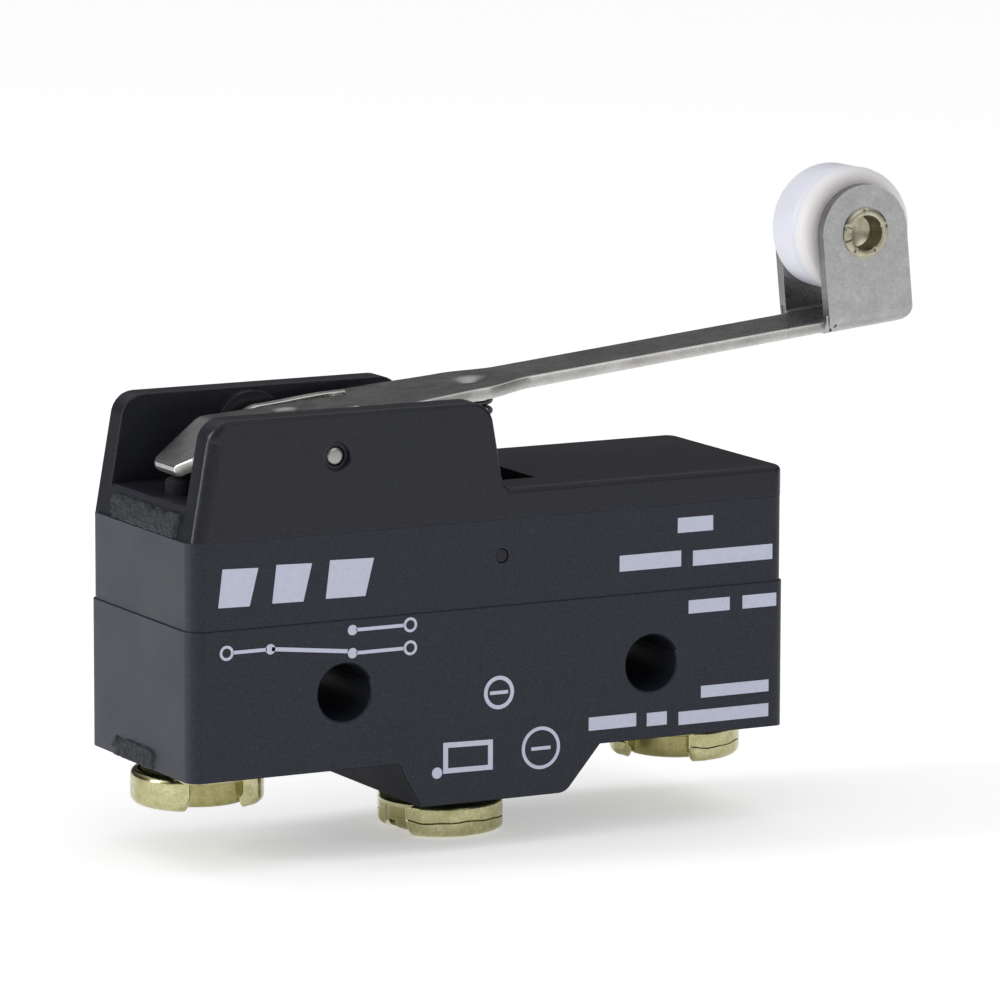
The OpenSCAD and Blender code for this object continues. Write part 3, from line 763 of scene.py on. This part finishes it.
def make_lever():
    """Bent sheet, its two lugs, and the yoke drawn square to the arm and then turned onto it."""
    lever = make_sheet()
    for way in (-1, 1):
        low, high = sorted((way * LUG_INNER, way * LUG_OUTER))
        join(lever, plate(lug_outline(), "Y", low, high, 0.1, 0.1, 3))
    half = YOKE_GAP / 2 + SHEET_T
    top = YOKE_RISE + YOKE_HALF
    bend, inner_bend, toe = 1.15, 0.3, 1.2
    section = arc((half - bend, -SHEET_T + bend), bend, -90, 0, 8) + [Vector((half, top + OVER))]
    section += [Vector((YOKE_GAP / 2, top + OVER)), Vector((YOKE_GAP / 2, inner_bend))]
    section += arc((YOKE_GAP / 2 - inner_bend, inner_bend), inner_bend, 0, -90, 4)[1:]
    section += [Vector((-p.x, p.y)) for p in reversed(section)]
    start, end = YOKE_X - YOKE_HALF, YOKE_X + YOKE_HALF
    yoke = plate(section, "X", start - OVER, end + OVER)
    split_faces(yoke, lambda normal: 0)
    side = [Vector((start, -SHEET_T)), Vector((end - toe, -SHEET_T))]
    side += arc((end - toe, -SHEET_T + toe), toe, -90, 0, 8)
    side += arc((YOKE_X, YOKE_RISE), YOKE_HALF, 0, 180, 36)
    profile = plate(side, "Y", -2 * half, 2 * half)
    # The third material is for the yoke's punched outline
    split_faces(profile, lambda normal: 2)
    keep(yoke, profile)
    cut(yoke, drill(1.5, (YOKE_X, 0, YOKE_RISE), "Y", -2 * half, 2 * half, 64))
    for way in (-1, 1):
        # Relief nick and its small round bottom, where the arm's edge runs into the upturned plate
        cut(yoke, drill(0.3, (start + 0.05, way * (half - 0.5), 0), "Z", -2, 0.55, 20))
        cut(yoke, drill(0.16, (start + 0.5, way * half, -0.28), "Y", -0.35, 0.35, 16))
    rims = yoke.modifiers.new("rims", "BEVEL")
    rims.width = 0.09
    rims.segments = 2
    rims.limit_method = "ANGLE"
    rims.angle_limit = radians(50)
    bake(yoke)
    yoke.data.transform(Matrix.Translation((KNEE.x, 0, KNEE.y)) @ Matrix.Rotation(-SLOPE, 4, "Y"))
    join(lever, yoke)
    cut(lever, drill(PIN_R + 0.05, (PIN.x, 0, PIN.y), "Y", -HALF_W, HALF_W, 48))
    materials = [SHEET, SHEARED, PUNCHED]
    finish_piece(lever, "lever_with_yoke", "lever_arm", materials, ["lever"], sharp=28)


def make_rivet():
    """Tubular rivet rolled over at both ends, each with a punched cone at the bottom of its bore."""
    half = YOKE_GAP / 2 + SHEET_T
    face = half + 0.25
    side = [(0, face - 2.1), (1.2, face - 1.68), (1.28, face - 1.55), (1.31, face - 0.12)]
    side += [(1.36, face - 0.03), (1.46, face), (1.70, face - 0.005), (1.84, face - 0.05)]
    side += [(1.92, face - 0.13), (1.92, half + 0.01), (1.5, half - 0.02)]
    profile = [(r, h) for r, h in side] + [(r, -h) for r, h in reversed(side)]
    bm = lathe_bm(profile, (0, 0, 0), "Y", 96)
    # Splits in the rolled lip, as (angle in degrees, depth)
    splits = ((160, 0.16), (198, 0.2), (232, 0.12), (20, 0.1), (302, 0.14), (95, 0.1))
    for vert in bm.verts:
        radius = hypot(vert.co.x, vert.co.z)
        if radius > 1.35 and abs(vert.co.y) > half + 0.05:
            angle = degrees(atan2(vert.co.z, vert.co.x)) % 360
            for where, depth in splits:
                gap = abs((angle - where + 180) % 360 - 180)
                if gap < 2.5:
                    vert.co.y -= copysign(depth * (1 - gap / 4), vert.co.y)
            vert.co.y += copysign(0.02 * noise.noise(vert.co * 1.7), vert.co.y)
    bmesh.ops.translate(bm, verts=bm.verts, vec=Vector((AXLE.x, 0, AXLE.y)))
    finish_piece(work(bm), "roller_rivet", "lever_arm", [RIVET], ["roller_axle"], sharp=38)


def make_roller():
    """Turned nylon roller: two lands with a fine groove between them, nearer one side."""
    half, radius, rim = 2.4, 4.75, 0.5
    side = [(1.56, half - 0.12), (1.68, half), (2.2, half)]
    side += [(2.3, half - 0.08), (3.6, half - 0.08), (3.7, half)]
    side += [(radius - rim + rim * sin(a), half - rim + rim * cos(a))
             for a in (pi / 2 * k / 9 for k in range(10))]
    crown = half - rim
    lands = []
    for k in range(1, 60):
        h = crown * (1 - 2 * k / 60)
        groove = 0.15 * exp(-((h + 1.05) / 0.26) ** 2)
        swell = 0.07 * max(0.0, sin(pi * min(1.0, (-h - 1.05) / 0.85))) if h < -1.05 else 0.0
        lands.append((radius - groove + swell - 0.03 * (h / crown) ** 2, h))
    profile = side + lands + [(r, -h) for r, h in reversed(side)]
    roller = lathe(profile, (AXLE.x, 0, AXLE.y), "Y", 144)
    finish_piece(roller, "roller_tyre", "roller_wheel", [NYLON], ["roller"], sharp=40)


def make_hinge_pin():
    end = EAR_FACE - PIN_RECESS
    side = [(0, end + 0.05), (0.35, end + 0.045), (0.55, end + 0.02), (0.6, end - 0.01), (0.75, end - 0.17)]
    pin = lathe(side + [(r, -h) for r, h in reversed(side)], (PIN.x, 0, PIN.y), "Y", 48)
    finish_piece(pin, "hinge_pin_turned", "housing", [PIN_STEEL], ["hinge_pin"])


def make_spring():
    """Compression spring with closed ends, seated in the cover's pocket and on the arm's locator."""
    outer, wire, turns = 4.0, 0.36, 8.5
    radius = (outer - wire) / 2
    floor = Z_COVER + wire / 2 + 0.02
    ceiling = KNEE.y + (COIL_X - KNEE.x) * tan(SLOPE) - SHEET_T / cos(SLOPE)
    height = ceiling - wire / 2 - outer / 2 * tan(SLOPE) - 0.05 - floor
    closed = 0.85
    free = (height - 2 * wire * closed) / (turns - 2 * closed)
    points = []
    steps = 40
    for k in range(round(turns * steps) + 1):
        t = k / steps
        rise = min(t, closed) * wire + max(0.0, min(t, turns - closed) - closed) * free
        rise += max(0.0, t - (turns - closed)) * wire
        angle = 2 * pi * t - 0.6
        points.append(Vector((COIL_X + radius * cos(angle), radius * sin(angle), floor + rise)))
    spring = work(tube_bm(points, wire / 2, 10))
    finish_piece(spring, "return_coil_spring", "housing", [SPRING], ["return_spring"],
                 sharp=40, weighted=False)
    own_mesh(spring)


def make_plunger():
    """Push stem with a domed top, and its inner foot over the snap blade."""
    stem_r, foot_low, foot_high = 1.3, 8.3, 9.1
    side = [(0, 15.43), (0.5, 15.40), (0.9, 15.31), (1.18, 15.14), (stem_r, 14.85)]
    side += [(stem_r, 8.36), (1.24, foot_low), (0, foot_low)]
    stem = lathe(side, (PLUNGER_X, 0, 0), "Z", 48)
    foot = rounded_rect(PLUNGER_X - 0.2, -9.5, stem_r, 0.5, 5)
    join(stem, plate(foot, "Z", foot_low, foot_high, 0.12, 0.12, 3))
    nose = [(0, 8.6), (1.0, 8.6), (1.0, 7.3), (0.92, 7.12), (0.7, 7.05), (0, 7.05)]
    join(stem, lathe(nose, (-10.8, 0, 0), "Z", 40))
    # The stem takes the darker plastic, painted shade
    materials = [PLUNGER_PLASTIC_SHADED]
    finish_piece(stem, "push_plunger_stem", "push_plunger", materials, ["plunger"])


# ---------------- terminals
def make_cup_washer(name, node, x, z_top, gap_at, half_gap, seam_depth):
    """Round floor with two arms turned down, ending in flats; one gap faces gap_at, in degrees."""
    radius, thick, high, floor_t = 4.9, 0.75, 2.53, WASHER_FLOOR_T
    inner = radius - thick
    top_roll, low_roll = 0.45, 0.72
    start, end = radians(half_gap), pi - radians(half_gap)
    steps, seam, flat, lean = 120, -1.35, 17, radians(24)
    arms = []
    for turn in (0, pi):
        bm = bmesh.new()
        rings = []
        for k in range(steps + 1):
            angle = start + (end - start) * k / steps
            to_end = degrees(min(angle - start, end - angle))
            # The last stretch is a flat, leaning inwards from where it leaves the round
            past = radians(max(0.0, flat - to_end))
            flattened = cos(lean) / cos(past - lean) if past > 0 else 1.0
            lift = 0.7 * max(0.0, 1 - to_end / 6) ** 2
            r_out, r_in, low = radius * flattened, inner - 0.4 * radius * (1 - flattened), -high + lift
            groove = seam_depth * min(1.0, to_end / 6)
            wander = seam + 0.05 * sin(5 * angle + turn) + 0.03 * sin(13 * angle)
            section = [(r_in, -floor_t + 0.1), (r_in, low + 0.16)]
            section += [(r_in + 0.03, low + 0.04), (r_in + 0.12, low)]
            section += [(r_out - low_roll * (1 - sin(a)), low + low_roll * (1 - cos(a)) * 0.85)
                        for a in (pi / 2 * m / 10 for m in range(3, 11))]
            section += [(r_out, wander - 0.08), (r_out - groove, wander), (r_out, wander + 0.08)]
            section += [(r_out - top_roll + top_roll * cos(a), -top_roll + top_roll * sin(a))
                        for a in (pi / 2 * m / 9 for m in range(10))]
            section += [(r_in, 0.0)]
            facing = angle + turn + radians(gap_at)
            way = Vector((cos(facing), sin(facing)))
            rings.append([bm.verts.new((x + r * way.x, r * way.y, z_top + h)) for r, h in section])
        for near, far in zip(rings, rings[1:]):
            for i in range(len(near)):
                j = (i + 1) % len(near)
                bm.faces.new((near[i], near[j], far[j], far[i]))
        bm.faces.new(rings[0])
        bm.faces.new(rings[-1])
        arms.append(work(bm))
    top = [(2.02, 0), (4.35, 0), (4.5, -0.05), (4.58, -0.17)]
    top += [(4.58, -0.35), (4.45, -floor_t), (2.02, -floor_t)]
    washer = lathe(top, (x, 0, z_top), "Z", 96)
    for arm in arms:
        join(washer, arm)
    finish_piece(washer, name, "housing", [BRASS], [node], sharp=13, weighted=False)


def make_screw(name, node, x, z_top):
    """Slotted cheese-head screw with a rolled edge, hanging under its washer."""
    head_r, head_t, shank_r, slot_half, slot_deep = 4.05, 1.88, 2.0, 0.45, 0.7
    top = z_top - WASHER_FLOOR_T
    low = top - head_t
    profile = [(0, low), (3.0, low), (3.45, low + 0.05), (3.8, low + 0.18), (3.98, low + 0.42)]
    profile += [(head_r, low + 0.8), (head_r, top - 0.12), (3.95, top), (shank_r, top)]
    profile += [(shank_r, z_top + 2.6), (1.6, z_top + 3.0), (0, z_top + 3.0)]
    screw = lathe(profile, (x, 0, 0), "Z", 96)
    slot = box((-5, -slot_half, -OVER), (5, slot_half, slot_deep))
    slot.data.transform(Matrix.Translation((x, 0, low)))
    cut(screw, slot)
    finish_piece(screw, name, "housing", [SCREW], [node])


def make_terminals():
    """A cup washer, turned its own way, and a screw under each terminal's foot plate."""
    outer, middle = Z_BOTTOM - OUTER_FOOT_T, Z_BLOCK - MIDDLE_FOOT_T
    settings = (("common", outer, -95, 28, 0.006), ("middle", middle, 180, 28, 0.06),
                ("end", outer, -138, 33, 0.05))
    for x, (key, top, gap_at, half_gap, seam_depth) in zip(TERMINALS_X, settings):
        make_cup_washer("washer_" + key, "cup_washer_" + key, x, top, gap_at, half_gap, seam_depth)
        make_screw("terminal_screw_" + key, "screw_" + key, x, top)


# ---------------- printed marks, all generic shapes
def mark(name, shapes, face_y):
    """Thin ink film on the side face at face_y; a shape is an (x, z) outline and its hole or None."""
    whole = bmesh.new()
    low, high = face_y - 0.018, face_y + 0.05
    for outline, hole in shapes:
        solid = plate(outline, "Y", low, high)
        if hole:
            cut(solid, plate(hole, "Y", low - 0.1, high + 0.1))
        whole.from_mesh(solid.data)
        bpy.data.objects.remove(solid)
    finish_piece(work(whole), name, "housing", [INK], weighted=False)


def bar(x0, z0, x1, z1):
    return [(x0, z0), (x1, z0), (x1, z1), (x0, z1)], None


def stroke(x0, z0, x1, z1, width):
    a, b = Vector((x0, z0)), Vector((x1, z1))
    side = (b - a).normalized()
    side = Vector((-side.y, side.x)) * width / 2
    return [a - side, b - side, b + side, a + side], None


def disc(x, z, radius):
    return arc((x, z), radius, 0, 348.75, 31), None


def ring(x, z, radius, width):
    return arc((x, z), radius, 0, 348.75, 31), arc((x, z), radius - width, 0, 348.75, 31)


def make_marks():
    case_y = -(HALF_W - CASE_INSET)
    # Three plain slanted blocks on the middle moulding
    blocks = []
    for x, width in ((-22.8, 3.2), (-18.5, 3.2), (-14.2, 3.9)):
        blocks.append(([(x, 7.05), (x + width - 0.7, 7.0), (x + width, 9.75), (x + 0.35, 9.85)], None))
    mark("mark_blocks", blocks, case_y)
    # Generic change-over contact diagram on the base
    z, fork, dot, eye, line = 3.75, 0.85, 0.38, 0.55, 0.26
    diagram = [ring(-22.2, z, eye, 0.2), stroke(-21.7, z, -19.0, z, line), disc(-18.7, z, dot)]
    diagram += [stroke(-18.6, z, -12.5, z - fork + 0.18, 0.3)]
    diagram += [disc(-12.1, level, dot) for level in (z - fork, z + fork)]
    diagram += [stroke(-11.8, level, -7.9, level, line) for level in (z - fork, z + fork)]
    diagram += [ring(-7.4, level, eye, 0.2) for level in (z - fork, z + fork)]
    mark("mark_contact_diagram", diagram, -HALF_W)
    # Plain round and square outlines near the middle
    marks = [ring(-0.1, -1.05, 1.25, 0.3), bar(-0.85, -1.18, 0.65, -0.92)]
    marks += [([(-4.7, -4.4), (-0.6, -4.5), (-0.6, -6.75), (-4.7, -6.7)],
               [(-4.3, -4.8), (-1.0, -4.88), (-1.0, -6.37), (-4.3, -6.32)])]
    marks += [ring(3.4, -5.5, 1.6, 0.26), bar(2.6, -5.66, 4.2, -5.4), disc(-5.2, -6.6, 0.42)]
    mark("mark_outlines", marks, -HALF_W)
    # Plain bars on the right
    upper = [bar(14.9, 9.62, 17.9, 10.75), bar(10.0, 7.1, 15.2, 8.3), bar(16.2, 7.05, 23.0, 8.2)]
    mark("mark_bars_upper", upper, case_y)
    lower = [bar(15.8, 3.5, 19.3, 4.5), bar(20.4, 3.5, 23.3, 4.5), bar(16.9, -2.95, 22.7, -2.05)]
    lower += [bar(7.4, -4.6, 11.4, -3.6), bar(12.3, -4.7, 14.0, -3.7), bar(15.0, -4.85, 22.7, -3.85)]
    mark("mark_bars_lower", lower, -HALF_W)


# ---------------- CAD parts carried over inside the housing
CARRIED = {
    "snap_blade": COPPER,
    "moving_contact": SILVER,
    "contact_upper": SILVER,
    "contact_lower": SILVER,
    "terminal_common": BRASS,
    "terminal_middle": BRASS,
    "terminal_end": BRASS,
    "blade_clamp": PIN_STEEL,
    "clamp_rivet": BRASS,
}


def dress_carried_parts():
    """Inner CAD parts keep their shape; welding and a small bevel soften their edges."""
    for node, material in CARRIED.items():
        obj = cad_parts[node]
        obj.data.materials.clear()
        obj.data.materials.append(material)
        weld = obj.modifiers.new("weld", "WELD")
        weld.merge_threshold = 0.000002
        edge = obj.modifiers.new("edge", "BEVEL")
        edge.width = 0.00006
        edge.segments = 2
        edge.limit_method = "ANGLE"
        edge.angle_limit = radians(50)


# ---------------- studio
def look_from(azimuth, elevation, roll, distance, target):
    """Camera position and axes for a view given as angles round the target, which is in millimetres."""
    a, e, r = (radians(v) for v in (azimuth, elevation, roll))
    back = Vector((sin(a) * cos(e), -cos(a) * cos(e), sin(e)))
    right = (-back).cross(Vector((0, 0, 1))).normalized()
    up = right.cross(-back)
    right, up = cos(r) * right + sin(r) * up, cos(r) * up - sin(r) * right
    matrix = Matrix((right, up, back)).transposed().to_4x4()
    matrix.translation = (Vector(target) + distance * back) * MM
    return matrix


def make_camera():
    data = bpy.data.cameras.new("camera")
    data.sensor_width = 36.0
    data.lens = 252.6
    data.clip_start, data.clip_end = 0.01, 20.0
    camera = bpy.data.objects.new("camera", data)
    camera.matrix_world = look_from(azimuth=-27.894, elevation=9.353, roll=0.149, distance=521.756,
                                    target=(4.564, 0, 11.611))
    scene.collection.objects.link(camera)
    scene.camera = camera


def area_light(name, place, target, size, power):
    data = bpy.data.lights.new(name, "AREA")
    data.shape = "RECTANGLE"
    data.size, data.size_y = size
    data.energy = power
    light = bpy.data.objects.new(name, data)
    light.location = place
    light.rotation_euler = (Vector(target) - Vector(place)).to_track_quat("-Z", "Y").to_euler()
    scene.collection.objects.link(light)


def make_studio():
    """Pale floor just under the lowest washer, a sky darker towards the horizon, two soft lights."""
    floor_z, reach = -0.01262, 6
    bm = bmesh.new()
    corners = ((-reach, -reach), (reach, -reach), (reach, reach), (-reach, reach))
    corners = [bm.verts.new((x, y, floor_z)) for x, y in corners]
    bm.faces.new(corners)
    floor = work(bm)
    floor.name = "floor"
    floor.data.materials.clear()
    s = Shader("floor_paper")
    tooth = s.noise(900, 3.0, 0.5)
    paper = s.mix((0.90, 0.90, 0.90), (0.92, 0.92, 0.92), tooth)
    glow = {"emission_color": (1.0, 1.0, 1.0), "emission_strength": 0.42}
    floor.data.materials.append(s.set(base_color=paper, roughness=0.9, **glow))

    world = bpy.data.worlds.new("studio")
    scene.world = world
    world.use_nodes = True
    tree = world.node_tree
    tree.nodes.clear()
    place = tree.nodes.new("ShaderNodeTexCoord")
    parts = tree.nodes.new("ShaderNodeSeparateXYZ")
    ramp = tree.nodes.new("ShaderNodeValToRGB")
    for _ in range(2):
        ramp.color_ramp.elements.new(0.5)
    # Brightness against the height of the direction looked in
    levels = ((0.0, 0.06), (0.34, 0.10), (0.72, 0.8), (1.0, 1.0))
    for element, (position, value) in zip(ramp.color_ramp.elements, levels):
        element.position = position
        element.color = (value, value, value * 1.02, 1.0)
    sky = tree.nodes.new("ShaderNodeBackground")
    sky.inputs["Strength"].default_value = 0.92
    out = tree.nodes.new("ShaderNodeOutputWorld")
    tree.links.new(place.outputs["Generated"], parts.inputs[0])
    tree.links.new(parts.outputs["Z"], ramp.inputs[0])
    tree.links.new(ramp.outputs[0], sky.inputs["Color"])
    tree.links.new(sky.outputs[0], out.inputs[0])
    area_light("key", (-0.53, 0.13, 0.17), (0, 0, 0.01), (0.10, 0.3), 1.4)
    area_light("fill", (0.16, -0.62, 0.32), (0, 0, 0.01), (0.3, 0.3), 0.6)
    view = scene.view_settings
    view.view_transform, view.look = "Standard", "None"
    view.exposure, view.gamma = 0.0, 1.0


make_camera()
make_studio()
make_base()
make_case()
make_cover()
gate_mark("gate_break_upper", (-24.69, 11.86), (-24.39, 13.55), -5.9, 5.3, 0.26, 3.7)
gate_mark("gate_break_lower", (X_LEFT, -5.62), (X_LEFT, -4.2), -2.6, 4.4, 0.2, 8.1)
make_lever()
make_rivet()
make_roller()
make_hinge_pin()
make_spring()
make_plunger()
make_terminals()
make_marks()
dress_carried_parts()
for material in SPLIT:
    bpy.data.materials.remove(material)
